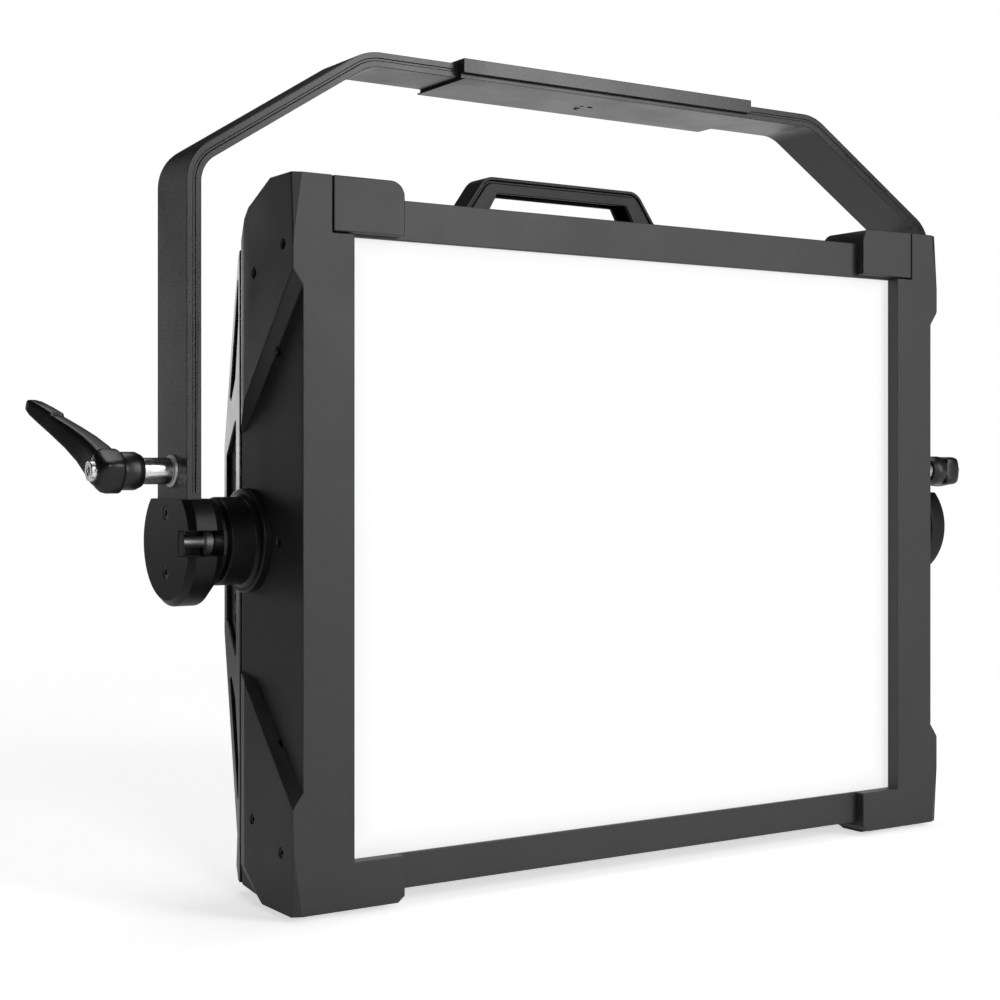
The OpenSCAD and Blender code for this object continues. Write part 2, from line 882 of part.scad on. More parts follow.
// Channel bent to a bow, open on the inside, with a foot at each end
module top_handle() {
    foot_z = spine_hi + handle_foot_h;
    foot_in = handle_foot_half - handle_foot_w;
    under = handle_top - handle_t;
    color("#303032")
        difference() {
            deep(at(handle_d[0]), at(handle_d[1]))
                difference() {
                    union() {
                        handle_core(0, spine_hi);
                        translate([-handle_foot_half, spine_hi])
                            square([2 * handle_foot_half, handle_foot_h]);
                    }
                    polygon([[-foot_in, spine_hi - cut], [-foot_in, foot_z],
                        [-handle_open_x, under], [handle_open_x, under], [foot_in, foot_z], [foot_in, spine_hi - cut]]);
                }
            deep(at(handle_d[0]) + handle_flange, at(handle_d[1]) - handle_flange)
                handle_core(handle_web, foot_z + 4);
            deep(at(handle_d[0]) - cut, at(handle_d[0]) + handle_groove_t)
                difference() {
                    handle_core(handle_groove[0], foot_z + 2);
                    handle_core(handle_groove[1], foot_z);
                }
            at_handle_screws(spine_hi - 20)
                cylinder(h = 30, r = 2.1);
        }
}

module handle_screws() {
    color("#4a4b4f")
        at_handle_screws(spine_hi - cover_wall - 2) {
            cylinder(h = 11, r = 2);
            cylinder(h = 2, r = 3.5);
        }
}

// Eye for a safety cable, on a base plate
module safety_eye() {
    color("#a9abae") {
        span([-10, rear_y, eye_z - 20], [10, rear_y + 2.5, eye_z + 20]);
        difference() {
            across(-eye_t / 2, eye_t / 2)
                polygon([[rear_y + 2, eye_z + 16], [rear_y + 11.5, eye_z + 5],
                    [rear_y + 11.5, eye_z - 5], [rear_y + 2, eye_z - 16]]);
            rod_x(-eye_t, eye_t, eye_r, rear_y + 5.5, eye_z);
        }
    }
}

/* ---------- Pivots ---------- */

// Flange and drum bolted to the right cheek
module pivot_flange() {
    translate([0, 0, tilt_z])
        rotate([0, 90, 0])
            rotate_extrude($fn = 96)
                polygon([[pivot_bolt_r, side_x], [flange_r, side_x], [flange_r, side_x + 5],
                    [flange_r - 1, side_x + 6], [hub_r + 2, side_x + 6.5], [hub_r, side_x + 8.5],
                    [hub_r, hub_end - 1], [hub_r - 1, hub_end], [pivot_bolt_r, hub_end]]);
}

module left_pivot_flange() { color("#2a2a2c") on_side(-1) pivot_flange(); }
module right_pivot_flange() { color("#2a2a2c") on_side(1) pivot_flange(); }

module pivot_bolts() {
    color("#b9babd")
        both_sides() {
            rod_x(plate_in - 8, plate_in, 9, 0, tilt_z);
            rod_x(plate_in, pivot_bolt_end, pivot_bolt_r - 0.05, 0, tilt_z);
            rod_x(knuckle_in + 0.2, collar_end, collar_r, 0, tilt_z);
        }
}

module friction_washers() {
    color("#3c3c3e")
        both_sides()
            difference() {
                rod_x(hub_end + 0.1, washer_end, 24, 0, tilt_z);
                rod_x(hub_end - cut, washer_end + cut, pivot_bolt_r + 0.3, 0, tilt_z);
            }
}

// Places its child at each screw that holds the right arm in its knuckle
module at_arm_screws() {
    for (sz = [-1, 1])
        translate([0, 0, tilt_z + sz * arm_screw_dz])
            children();
}

// Knuckle of a yoke end, at the right: a disc with a pocket for the arm, notched at the front
module knuckle() {
    notch_lo = tilt_z - notch_h / 2;
    notch_hi = tilt_z + notch_h / 2;
    difference() {
        intersection() {
            translate([0, 0, tilt_z])
                rotate([0, 90, 0])
                    rotate_extrude($fn = 96)
                        polygon([[0, knuckle_in], [hub_r, knuckle_in], [hub_r, knuckle_in + 4],
                            [knuckle_r - knuckle_cone, knuckle_in + 4], [knuckle_r, knuckle_full],
                            [knuckle_r, knuckle_out - knuckle_edge],
                            [knuckle_r - knuckle_edge, knuckle_out], [0, knuckle_out]]);
            span([0, -100, 0], [400, 100, knuckle_top]);
        }
        span([arm_inner_x, -bar_w / 2, arm_end_z], [arm_outer_x, bar_w / 2, 400]);
        span([knuckle_in - cut, -100, notch_lo], [arm_outer_x, notch_back, notch_hi]);
        span([arm_outer_x - cut, -100, notch_lo], [400, skin_notch_back, notch_hi]);
        rod_x(knuckle_in - cut, pivot_bolt_end + 0.2, pivot_bolt_r, 0, tilt_z);
        rod_x(knuckle_in - cut, collar_end + 0.2, collar_r + 0.1, 0, tilt_z);
        at_arm_screws() {
            rod_x(arm_inner_x - 8, 400, arm_screw_r + 0.05, 0, 0);
            rod_x(knuckle_out - arm_screw_sink, 400, arm_screw_head + 0.1, 0, 0);
        }
    }
}

module left_knuckle() { color("#262628") on_side(-1) knuckle(); }
// The same knuckle turned round, so its notch is at the rear
module right_knuckle() { color("#262628") mirror([0, 1, 0]) knuckle(); }

/* ---------- Yoke ---------- */

// Points of an arc from angle a to angle b, counted from +X
function arc(cx, cz, r, a, b, n = 16) =
    [for (i = [0:n]) let (t = a + (b - a) * i / n) [cx + r * cos(t), cz + r * sin(t)]];

// Outline of half of the bent bar in X and Z, at the right
low_turn = 90 - bend_angle;
low_cx = arm_inner_x - bend_r_low;
inner_top = yoke_top - bar_t;
diag_z = inner_top - (arm_inner_x - cross_half) * tan(bend_angle);
low_cz = diag_z - bend_r_low * tan(low_turn / 2);
high_cx = cross_half - bend_r_high * tan(bend_angle / 2);
high_cz = inner_top - bend_r_high;

// Strip along the right half of the bar, from inset a to inset b off its inner face
function strip(a, b, end_z) = concat(
    [[arm_inner_x + a, end_z], [arm_inner_x + b, end_z]],
    arc(low_cx, low_cz, bend_r_low + b, 0, low_turn),
    arc(high_cx, high_cz, bend_r_high + b, low_turn, 90),
    arc(high_cx, high_cz, bend_r_high + a, 90, low_turn),
    arc(low_cx, low_cz, bend_r_low + a, low_turn, 0));

// Places its child at each screw that holds the mount plate
module at_mount_screws(z) {
    for (sx = [-1, 1], sy = [-1, 1])
        translate([sx * mount_screw_at[0], sy * mount_screw_at[1], z])
            children();
}

// Bores of the mount, open at the top and closed by the plate's floor
module mount_bores() {
    translate([0, 0, inner_top])
        cylinder(h = bar_t + 10, r = mount_bore_r);
    both_sides()
        translate([mount_slot_x, 0, inner_top])
            cylinder(h = bar_t + 10, r = mount_slot_r);
    at_mount_screws(inner_top - 1)
        cylinder(h = bar_t + 10, r = mount_screw_r);
}

// Shallow groove along the right half of the bar's front edge
module arm_groove_cut() {
    deep(-bar_w / 2 - cut, arm_groove_t - bar_w / 2) {
        polygon(strip(arm_groove[0], arm_groove[1], knuckle_top + 4));
        translate([mount_half_x + 4, inner_top + arm_groove[0]])
            square([high_cx - mount_half_x - 3.9, arm_groove[1] - arm_groove[0]]);
    }
}

// Slot across the right arm's end, open at the front
module arm_notch_cut() {
    span([arm_inner_x - cut, -bar_w, tilt_z - notch_h / 2],
        [arm_outer_x + cut, notch_back, tilt_z + notch_h / 2]);
}

module yoke_bar() {
    color("#2f2f31")
    difference() {
        union() {
            both_sides()
                deep(-bar_w / 2, bar_w / 2)
                    polygon(strip(0, bar_t, arm_end_z));
            span([-high_cx, -bar_w / 2, inner_top], [high_cx, bar_w / 2, yoke_top]);
        }
        both_sides() {
            rod_x(arm_inner_x - cut, arm_outer_x + cut, pivot_bolt_r + 0.3, 0, tilt_z);
            rod_x(arm_inner_x - cut, arm_outer_x + cut, stud_r + 0.1, 0, clamp_z);
            at_arm_screws()
                rod_x(arm_inner_x - cut, arm_outer_x + cut, arm_screw_r + 0.15, 0, 0);
            arm_groove_cut();
            mirror([0, 1, 0])
                arm_groove_cut();
        }
        on_side(-1)
            arm_notch_cut();
        mirror([0, 1, 0])
            arm_notch_cut();
        translate([0, 0, -cut])
            mount_bores();
    }
}

module arm_screws() {
    color("#2a2a2c")
        both_sides()
            at_arm_screws()
                difference() {
                    union() {
                        rod_x(knuckle_out - arm_screw_sink, knuckle_out - 0.2, arm_screw_head, 0, 0);
                        rod_x(arm_inner_x - 7.5, knuckle_out - arm_screw_sink, arm_screw_r, 0, 0);
                    }
                    translate([knuckle_out - 1.8, 0, 0])
                        rotate([0, 90, 0])
                            cylinder(h = 4, r = arm_screw_hex_r, $fn = 6);
                }
}

// Plate clamped round the crossbar from below and at both edges
module mount_plate() {
    color("#2b2b2d")
    difference() {
        span([-mount_half_x, -mount_half_y, inner_top - mount_lap],
            [mount_half_x, mount_half_y, yoke_top + mount_proud]);
        span([-mount_half_x - cut, -bar_w / 2, inner_top], [mount_half_x + cut, bar_w / 2, yoke_top]);
        for (side = [-1, 1])
            mirror([0, side < 0 ? 0 : 1, 0])
                span([-mount_half_x - cut, -mount_half_y - cut, inner_top - 1],
                    [mount_half_x + cut, mount_groove_t - mount_half_y, inner_top - 1 + mount_groove_h]);
        mount_bores();
        at_mount_screws(yoke_top + mount_proud - mount_head_sink)
            cylinder(h = 10, r = mount_head_r);
        translate([0, 0, inner_top - 5])
            cylinder(h = 10, r = drain_r);
        translate([pin_hole_x, 0, inner_top - 5])
            cylinder(h = 6, r = pin_hole_r);
        translate([lock_screw_at[0], lock_screw_at[1], inner_top - 5])
            cylinder(h = 6, r = pin_hole_r + 0.05);
    }
}

// Screw with a hexagon socket, its head down to z = 0 and its shank below it
module plate_screw(head_r, head_h, shank_r, length, hex_r) {
    difference() {
        union() {
            cylinder(h = head_h, r = head_r);
            translate([0, 0, -length])
                cylinder(h = length, r = shank_r);
        }
        translate([0, 0, head_h * 0.35])
            cylinder(h = head_h, r = hex_r, $fn = 6);
    }
}

module mount_screws() {
    color("#8f9194") {
        at_mount_screws(yoke_top + mount_proud - mount_head_sink)
            plate_screw(mount_head_r - 0.1, 2, mount_screw_r - 0.05, bar_t + 1.2, 2);
        translate([lock_screw_at[0], lock_screw_at[1], inner_top - mount_lap])
            mirror([0, 0, 1])
                plate_screw(2.4, 1.2, pin_hole_r, 1.8, 1.1);
    }
}

/* ---------- Clamp levers ---------- */

module clamp_washers() {
    color("#c4c5c8")
        both_sides()
            difference() {
                rod_x(arm_outer_x, arm_outer_x + 1.8, 10.5, 0, clamp_z);
                rod_x(arm_outer_x - cut, 400, stud_r + 0.1, 0, clamp_z);
            }
}

// Chrome insert with its stud, at the right
module clamp_insert() {
    rod_x(arm_inner_x - 6, arm_outer_x + 2, stud_r, 0, clamp_z);
    rod_x(arm_outer_x + 2, lever_in + 3, insert_r, 0, clamp_z);
    rod_x(lever_in + 3, lever_in + 10, insert_r - 1.5, 0, clamp_z);
}

module left_clamp_insert() { color("#d8d9db") on_side(-1) clamp_insert(); }
module right_clamp_insert() { color("#d8d9db") on_side(1) clamp_insert(); }

// Slice of the grip at a reach from the axis
module grip_slice(reach, x, thick, high) {
    translate([x, reach, 0])
        rotate([90, 0, 0])
            linear_extrude(1, center = true)
                square([thick, high], center = true);
}

// Lever of the right side: a domed hub and a tapering grip that leans outwards
module clamp_lever(angle) {
    dome = [for (t = [0:11:55]) [lever_hub_r * cos(t), dome_start + dome_length * sin(t)]];
    translate([0, 0, clamp_z])
        difference() {
            union() {
                rotate([0, 90, 0])
                    rotate_extrude()
                        polygon(concat([[0, lever_in], [lever_hub_r - 2.2, lever_in],
                            [lever_hub_r, lever_in + 4]], dome, [[0, dome[5][1]]]));
                rotate([angle, 0, 0]) {
                    hull() {
                        grip_slice(0, lever_out - 14, 13, 22);
                        grip_slice(30, lever_out - 8, 12, 18);
                    }
                    hull() {
                        grip_slice(30, lever_out - 8, 12, 18);
                        grip_slice(grip_reach, lever_out + 12.5, 9, 12);
                        grip_slice(grip_reach + 7, lever_out + 15.5, 6, 8);
                    }
                }
            }
            rod_x(lever_in - cut, lever_in + lever_bore, insert_r + 0.06, 0, 0);
            rod_x(lever_in, lever_out + cut, 3, 0, 0);
            rod_x(lever_out - 3, lever_out + 20, clamp_head_r + 0.2, 0, 0);
        }
}

module left_clamp_lever() { color("#1b1b1d") on_side(-1) clamp_lever(left_grip_angle); }
module right_clamp_lever() { color("#1b1b1d") on_side(1) clamp_lever(right_grip_angle); }

// Centre screw of the right lever
module clamp_screw() {
    difference() {
        union() {
            rod_x(lever_in + lever_bore, lever_out - 3, 2.9, 0, clamp_z);
            rod_x(lever_out - 3, lever_out + 3.5, clamp_head_r, 0, clamp_z);
        }
        translate([lever_out + 1, 0, clamp_z])
            rotate([0, 90, 0])
                cylinder(h = 5, r = 3, $fn = 6);
    }
}

module left_clamp_screw() { color("#d8d9db") on_side(-1) clamp_screw(); }
module right_clamp_screw() { color("#d8d9db") on_side(1) clamp_screw(); }

left_cheek();
right_cheek();
top_bar();
bottom_bar();
left_corner_cap();
right_corner_cap();
front_feet();
rear_feet();
cheek_screws();
diffuser_panel();
diffuser_gasket();
light_box();
led_board();
led_chips();
heat_sink();
rear_cover();
rear_spine();
left_vent_screen();
right_vent_screen();
fan_frames();
fan_guards();
left_fan_rotor();
right_fan_rotor();
power_supply();
driver_board();
control_board();
control_panel();
display_window();
menu_button();
up_button();
down_button();
enter_button();
encoder_knob();
connector_plate();
power_inlet();
power_outlet();
data_sockets();
network_port();
fuse_cap();
cover_screws();
top_handle();
handle_screws();
safety_eye();
left_pivot_flange();
right_pivot_flange();
pivot_bolts();
friction_washers();
left_knuckle();
right_knuckle();
yoke_bar();
arm_screws();
mount_plate();
mount_screws();
clamp_washers();
left_clamp_insert();
right_clamp_insert();
left_clamp_lever();
right_clamp_lever();
left_clamp_screw();
right_clamp_screw();
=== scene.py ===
import json
import math

import bmesh
import bpy
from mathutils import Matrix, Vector


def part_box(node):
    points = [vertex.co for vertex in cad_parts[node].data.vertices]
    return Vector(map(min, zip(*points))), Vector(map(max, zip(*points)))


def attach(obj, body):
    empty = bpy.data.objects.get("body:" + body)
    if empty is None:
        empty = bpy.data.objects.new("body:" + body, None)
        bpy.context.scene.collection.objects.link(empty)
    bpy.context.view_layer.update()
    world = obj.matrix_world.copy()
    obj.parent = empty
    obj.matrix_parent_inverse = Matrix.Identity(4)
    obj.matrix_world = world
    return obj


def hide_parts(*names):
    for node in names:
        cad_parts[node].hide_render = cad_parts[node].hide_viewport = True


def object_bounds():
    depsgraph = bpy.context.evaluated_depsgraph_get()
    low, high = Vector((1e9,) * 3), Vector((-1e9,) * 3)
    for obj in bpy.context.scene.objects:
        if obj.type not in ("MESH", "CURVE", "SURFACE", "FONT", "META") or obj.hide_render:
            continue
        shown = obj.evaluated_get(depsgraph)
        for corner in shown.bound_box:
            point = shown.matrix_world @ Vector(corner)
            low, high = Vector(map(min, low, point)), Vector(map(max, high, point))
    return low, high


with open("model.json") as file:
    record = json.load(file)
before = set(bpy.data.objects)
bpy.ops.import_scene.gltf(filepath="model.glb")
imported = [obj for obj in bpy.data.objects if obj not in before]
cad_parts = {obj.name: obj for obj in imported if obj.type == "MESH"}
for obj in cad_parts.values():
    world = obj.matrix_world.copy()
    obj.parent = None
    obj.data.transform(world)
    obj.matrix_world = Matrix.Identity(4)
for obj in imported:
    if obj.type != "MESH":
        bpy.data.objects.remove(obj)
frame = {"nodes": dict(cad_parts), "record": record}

cad_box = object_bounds()
MM = 0.001
RECORD = frame["record"]
SLOT_OF = {part["node"]: part["material_slot"] for part in RECORD["subparts"]}
BODY_OF = {node: body for body, nodes in RECORD["behaviour"]["bodies"].items() for node in nodes}


# ---------- Camera ----------

# Lens and film width in millimetres, shift of the picture, place in metres, and heading in degrees
LENS = 64.8
FILM_WIDTH = 36
SHIFT_UP = -0.03
CAMERA_PLACE = (-0.7942, -1.0885, 0.2839)
CAMERA_HEADING = -33.26


def make_camera():
    """The view from the left front, level, at the height of the clamp levers."""
    data = bpy.data.cameras.new("camera")
    data.lens = LENS
    data.sensor_width = FILM_WIDTH
    data.shift_y = SHIFT_UP
    camera = bpy.data.objects.new("camera", data)
    camera.location = CAMERA_PLACE
    camera.rotation_euler = (math.radians(90), 0, math.radians(CAMERA_HEADING))
    bpy.context.scene.collection.objects.link(camera)
    bpy.context.scene.camera = camera


# ---------- Shader nodes ----------

def add(tree, kind, feeds=None, **settings):
    """Adds a shader node; feeds gives its inputs, as values or as sockets to link."""
    made = tree.nodes.new(kind)
    for key, value in settings.items():
        setattr(made, key, value)
    for key, value in (feeds or {}).items():
        socket = made.inputs[key]
        if isinstance(value, bpy.types.NodeSocket):
            tree.links.new(value, socket)
        else:
            socket.default_value = value
    return made


def grey(level, tint=0.0):
    """A grey colour, tinted towards blue."""
    return (level, level, level * (1 + tint), 1)


def object_place(tree, stretch=(1, 1, 1)):
    """The object's own coordinates in metres, stretched along each axis."""
    where = add(tree, "ShaderNodeTexCoord").outputs["Object"]
    if stretch == (1, 1, 1):
        return where
    return add(tree, "ShaderNodeMapping", {"Vector": where, "Scale": stretch}).outputs["Vector"]


def noise(tree, where, size, detail=3.0, roughness=0.55):
    """Noise whose features are about size metres across."""
    feeds = {"Vector": where, "Scale": 1 / size, "Detail": detail, "Roughness": roughness}
    return add(tree, "ShaderNodeTexNoise", feeds).outputs["Fac"]


def spread(tree, value, low, high, to_low=0.0, to_high=1.0):
    """The value's part from low to high, spread over another range and held there."""
    feeds = {"Value": value, "From Min": low, "From Max": high, "To Min": to_low, "To Max": to_high}
    return add(tree, "ShaderNodeMapRange", feeds, clamp=True).outputs["Result"]


def maths(tree, operation, a, b=0.0):
    """One sum on two numbers or sockets."""
    return add(tree, "ShaderNodeMath", {0: a, 1: b}, operation=operation).outputs["Value"]


def mix_colour(tree, share, a, b):
    """Colour a where share is 0, and b where it is 1."""
    feeds = {"Fac": share, "Color1": a, "Color2": b}
    return add(tree, "ShaderNodeMixRGB", feeds).outputs["Color"]


# How much the rounded normal agrees with the true one on a full edge, and on flat ground
EDGE_LEAN = (0.8, 0.985)


def edge_share(tree, reach):
    """1 on sharp edges, 0 on flat ground, from how far the rounded normal leans."""
    rounded = add(tree, "ShaderNodeBevel", {"Radius": reach}, samples=4).outputs["Normal"]
    true = add(tree, "ShaderNodeNewGeometry").outputs["Normal"]
    feeds = {0: rounded, 1: true}
    same = add(tree, "ShaderNodeVectorMath", feeds, operation="DOT_PRODUCT").outputs["Value"]
    return spread(tree, same, EDGE_LEAN[0], EDGE_LEAN[1], 1.0, 0.0)


def bump(tree, height, depth):
    """A normal from a height map; depth is the relief's height in metres."""
    feeds = {"Height": height, "Distance": depth, "Strength": 1.0}
    return add(tree, "ShaderNodeBump", feeds).outputs["Normal"]


def blank(name):
    """A new material with its tree and its Principled shader."""
    material = bpy.data.materials.new(name)
    material.use_nodes = True
    tree = material.node_tree
    return material, tree, tree.nodes["Principled BSDF"]


def feed(tree, shader, **sockets):
    """Links or sets the shader's inputs, with _ for a space in their names."""
    for key, value in sockets.items():
        socket = shader.inputs[key.replace("_", " ")]
        if isinstance(value, bpy.types.NodeSocket):
            tree.links.new(value, socket)
        else:
            socket.default_value = value


# ---------- Materials ----------

# Faint blue in coats and metals
TINT = 0.02


def coated(name, dark, light, rough=0.5, grain=0.7 * MM, relief=0.03 * MM, wear=0.35, ior=1.5):
    """Powder coat: a fine pebbled skin, faint clouds, and edges polished by handling."""
    material, tree, shader = blank(name)
    where = object_place(tree)
    clouds = noise(tree, where, 45 * MM, 4)
    pebbles = noise(tree, where, grain, 2)
    specks = noise(tree, where, 3.2 * MM, 5, 0.7)
    ground = mix_colour(tree, spread(tree, clouds, 0.3, 0.7), grey(dark, TINT), grey(light, TINT))
    ground = mix_colour(tree, spread(tree, specks, 0.62, 0.75, 0, 0.25), ground, grey(light * 1.6, TINT))
    worn = maths(tree, "MULTIPLY", edge_share(tree, 0.9 * MM), spread(tree, specks, 0.4, 0.6))
    worn = maths(tree, "MULTIPLY", worn, wear)
    uneven = spread(tree, clouds, 0.25, 0.75, rough - 0.05, rough + 0.06)
    fine = spread(tree, pebbles, 0.3, 0.7, -0.04, 0.04)
    skin = maths(tree, "ADD", uneven, fine)
    feed(tree, shader, Base_Color=mix_colour(tree, worn, ground, grey(light * 3.2)),
         Roughness=maths(tree, "SUBTRACT", skin, maths(tree, "MULTIPLY", worn, 0.25)),
         Normal=bump(tree, pebbles, relief))
    shader.inputs["IOR"].default_value = ior
    return material


def moulded(name, colour, rough=0.45, grain=0.5 * MM, relief=0.015 * MM):
    """Moulded plastic or rubber with a fine eroded texture."""
    material, tree, shader = blank(name)
    where = object_place(tree)
    clouds = noise(tree, where, 18 * MM, 3)
    pebbles = noise(tree, where, grain, 2)
    lighter = tuple(min(1.0, c * 1.35 + 0.004) for c in colour[:3]) + (1,)
    share = maths(tree, "ADD", spread(tree, clouds, 0.3, 0.7, 0, 0.6),
                  maths(tree, "MULTIPLY", edge_share(tree, 0.5 * MM), 0.4))
    feed(tree, shader, Base_Color=mix_colour(tree, share, colour, lighter),
         Roughness=spread(tree, maths(tree, "ADD", clouds, pebbles), 0.7, 1.3, rough - 0.06, rough + 0.08),
         Normal=bump(tree, pebbles, relief))
    return material


def metal(name, level, rough, stretch=(1, 1, 1)):
    """Bare metal with drawn or turned scratches and dull patches."""
    material, tree, shader = blank(name)
    lines = noise(tree, object_place(tree, stretch), 0.6 * MM, 3, 0.6)
    clouds = noise(tree, object_place(tree), 14 * MM, 4)
    feed(tree, shader, Metallic=1.0,
         Base_Color=mix_colour(tree, spread(tree, clouds, 0.3, 0.75), grey(level, TINT), grey(level * 0.78)),
         Roughness=spread(tree, maths(tree, "ADD", lines, clouds), 0.7, 1.3, rough - 0.07, rough + 0.12),
         Normal=bump(tree, lines, 0.006 * MM))
    return material


def chrome(name):
    """Satin chrome with hair scratches and a faint haze."""
    material, tree, shader = blank(name)
    hairs = noise(tree, object_place(tree, (9, 1, 1)), 0.9 * MM, 2, 0.7)
    haze = noise(tree, object_place(tree), 6 * MM, 4)
    feed(tree, shader, Metallic=1.0,
         Base_Color=mix_colour(tree, spread(tree, haze, 0.35, 0.8), grey(0.86, 0.015), grey(0.72)),
         Roughness=spread(tree, maths(tree, "ADD", hairs, haze), 0.7, 1.4, 0.18, 0.32),
         Normal=bump(tree, hairs, 0.0015 * MM))
    return material


def opal_diffuser(name):
    """Opal acrylic lit from behind: nearly white, falling off a little towards its edges."""
    material, tree, shader = blank(name)
    low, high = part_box("diffuser_panel")
    middle = (low + high) / 2
    half = (high - low) / 2
    where = object_place(tree)
    feeds = {0: where, 1: middle}
    from_middle = add(tree, "ShaderNodeVectorMath", feeds, operation="SUBTRACT").outputs["Vector"]
    parts = add(tree, "ShaderNodeSeparateXYZ", {"Vector": from_middle})
    across = maths(tree, "DIVIDE", maths(tree, "ABSOLUTE", parts.outputs["X"]), half.x)
    up = maths(tree, "DIVIDE", maths(tree, "ABSOLUTE", parts.outputs["Z"]), half.z)
    edge = maths(tree, "MAXIMUM", across, up)
    frost = noise(tree, where, 0.4 * MM, 2)
    clouds = noise(tree, where, 120 * MM, 2)
    level = spread(tree, edge, 0.86, 1.0, 1.0, 0.84)
    level = maths(tree, "MULTIPLY", level, spread(tree, clouds, 0.3, 0.7, 0.985, 1.0))
    feed(tree, shader, Base_Color=grey(0.2), Emission_Color=mix_colour(tree, level, grey(0), grey(1)),
         Emission_Strength=0.81, Roughness=spread(tree, frost, 0.3, 0.7, 0.5, 0.62),
         Normal=bump(tree, frost, 0.01 * MM))
    return material


# Bars on the display: length of each as a share, margin beside them and half height, in metres
DISPLAY_BARS = (0.8, 0.55, 0.3)
DISPLAY_MARGIN = 6 * MM
BAR_HALF = 2.2 * MM


def display_glass(name):
    """Clear cover over a dark display, with a faint pixel grid and lit bars behind it."""
    material, tree, shader = blank(name)
    where = object_place(tree)
    grid = add(tree, "ShaderNodeTexBrick", {"Vector": where, "Scale": 1.0,
               "Color1": (0.012, 0.018, 0.026, 1), "Color2": (0.014, 0.022, 0.03, 1),
               "Mortar": (0.004, 0.005, 0.007, 1), "Mortar Size": 0.02 * MM,
               "Brick Width": 0.5 * MM, "Row Height": 0.5 * MM}, offset=0.0)
    smears = noise(tree, where, 12 * MM, 5, 0.7)
    low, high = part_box("display_window")
    parts = add(tree, "ShaderNodeSeparateXYZ", {"Vector": where})
    lit = 0.0
    start = high.x - DISPLAY_MARGIN
    for row, share in enumerate(DISPLAY_BARS):
        middle = low.z + (high.z - low.z) * (0.75 - 0.25 * row)
        near = maths(tree, "ABSOLUTE", maths(tree, "SUBTRACT", parts.outputs["Z"], middle))
        band = maths(tree, "LESS_THAN", near, BAR_HALF)
        end = start - (high.x - low.x - 2 * DISPLAY_MARGIN) * share
        before = maths(tree, "LESS_THAN", parts.outputs["X"], start)
        inside = maths(tree, "MULTIPLY", before, maths(tree, "GREATER_THAN", parts.outputs["X"], end))
        lit = maths(tree, "ADD", lit, maths(tree, "MULTIPLY", band, inside))
    feed(tree, shader, Emission_Color=(0.35, 0.75, 1, 1),
         Emission_Strength=maths(tree, "MULTIPLY", lit, 0.7))
    feed(tree, shader, Base_Color=grid.outputs["Color"],
         Roughness=spread(tree, smears, 0.35, 0.75, 0.06, 0.22),
         Normal=bump(tree, smears, 0.003 * MM))
    shader.inputs["Coat Weight"].default_value = 0.6
    return material


def phosphor(name):
    """Yellow phosphor under clear silicone."""
    material, tree, shader = blank(name)
    where = object_place(tree)
    grains = noise(tree, where, 0.3 * MM, 3)
    feed(tree, shader, Base_Color=mix_colour(tree, grains, (0.85, 0.62, 0.12, 1), (0.95, 0.78, 0.3, 1)),
         Roughness=spread(tree, grains, 0.3, 0.7, 0.15, 0.3), Normal=bump(tree, grains, 0.01 * MM))
    return material


def make_materials():
    """One material for each of the record's slots."""
    return {
        "cast_black": coated("cast_black", 0.016, 0.022, 0.48),
        "bar_black": coated("bar_black", 0.016, 0.022, 0.48),
        "cover_black": coated("cover_black", 0.02, 0.028, 0.3, ior=1.8),
        "rubber_black": moulded("rubber_black", (0.012, 0.012, 0.0125, 1), 0.75, 0.9 * MM, 0.04 * MM),
        "screw_black": metal("screw_black", 0.09, 0.38),
        "diffuser_opal": opal_diffuser("diffuser_opal"),
        "reflector_white": moulded("reflector_white", (0.8, 0.8, 0.8, 1), 0.5),
        "led_board_white": moulded("led_board_white", (0.72, 0.72, 0.68, 1), 0.4),
        "led_yellow": phosphor("led_yellow"),
        "sink_alu": metal("sink_alu", 0.62, 0.4, (1, 1, 0.05)),
        "vent_black": moulded("vent_black", (0.006, 0.006, 0.0065, 1), 0.6),
        "fan_black": moulded("fan_black", (0.014, 0.014, 0.015, 1), 0.4),
        "guard_steel": metal("guard_steel", 0.2, 0.32),
        "supply_metal": metal("supply_metal", 0.55, 0.35, (0.05, 1, 1)),
        "board_green": moulded("board_green", (0.01, 0.09, 0.035, 1), 0.35),
        "panel_black": moulded("panel_black", (0.014, 0.014, 0.015, 1), 0.5, 0.4 * MM, 0.02 * MM),
        "display_dark": display_glass("display_dark"),
        "button_grey": moulded("button_grey", (0.05, 0.05, 0.053, 1), 0.55),
        "inlet_blue": moulded("inlet_blue", (0.02, 0.085, 0.33, 1), 0.32),
        "outlet_grey": moulded("outlet_grey", (0.36, 0.375, 0.39, 1), 0.34),
        "socket_black": moulded("socket_black", (0.014, 0.014, 0.014, 1), 0.3),
        "port_metal": metal("port_metal", 0.62, 0.28, (0.1, 1, 1)),
        "handle_black": coated("handle_black", 0.003, 0.006, 0.42, ior=1.36),
        "eye_steel": metal("eye_steel", 0.55, 0.34),
        "pivot_black": coated("pivot_black", 0.003, 0.005, 0.36, 0.5 * MM, 0.015 * MM, 0.3, ior=1.33),
        "bolt_steel": metal("bolt_steel", 0.82, 0.48),
        "yoke_black": coated("yoke_black", 0.005, 0.009, 0.27, relief=0.006 * MM),
        "lever_black": coated("lever_black", 0.004, 0.007, 0.34, 0.8 * MM, 0.02 * MM, 0.25),
        "lever_chrome": chrome("lever_chrome"),
    }


# ---------- Mesh helpers ----------

# Folds sharper than this many degrees stay sharp, and edges sharper than the next are rounded
SHARP_DEG = 38
ROUNDED_DEG = 30
ROUNDED_STEPS = 3
# Points nearer than this are one point, and faces flatter than this many degrees are one face
WELD = 0.004 * MM
FLAT_DEG = 0.5


